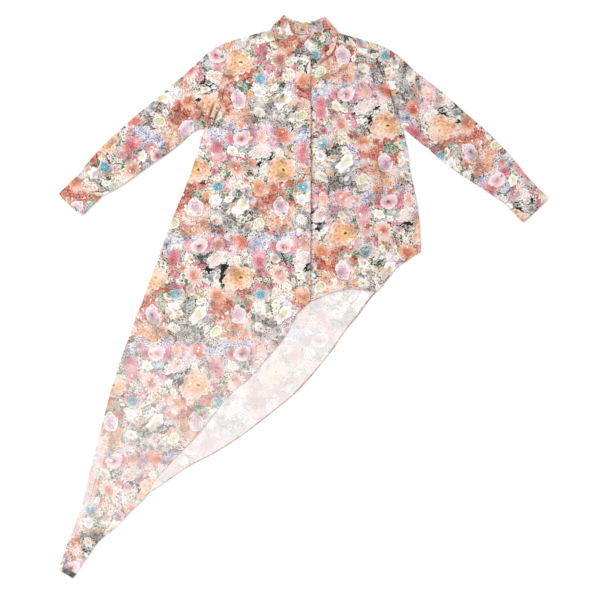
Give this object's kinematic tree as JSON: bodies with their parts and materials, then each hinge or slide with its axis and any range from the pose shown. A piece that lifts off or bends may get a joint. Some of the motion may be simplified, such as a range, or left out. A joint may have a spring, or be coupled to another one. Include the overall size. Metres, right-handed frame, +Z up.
{
  "type": "asymmetric shirt",
  "caption": "Long-sleeved collared shirt laid flat, face up, its front closed by a plain band, its slanted hem running down at one side into one long pointed tail.",
  "frame": {"origin": "the centre of the laid-out shirt's bounding box, on the surface that the back lies on", "axes": "+Y from the tail's end up to the collar, +X towards the short side, which is the wearer's left, +Z up off the surface, out of the front"},
  "size_m": [1.3208, 1.5195, 0.0195],
  "materials": {
    "printed_cloth": "light matt woven cloth printed all over with flowers in peach, coral, pink and white with grey-green leaves",
    "back_cloth": "the same light woven cloth, its pale wrong side up where the back shows below the front hem"
  },
  "bodies": {
    "root": {"back": "back_cloth", "yoke": "printed_cloth", "front_right": "printed_cloth", "front_left": "printed_cloth", "front_band": "printed_cloth", "collar_stand": "printed_cloth", "collar_fall": "printed_cloth", "sleeve_right": "printed_cloth", "sleeve_left": "printed_cloth", "cuff_right": "printed_cloth", "cuff_left": "printed_cloth"}
  },
  "joints": []
}
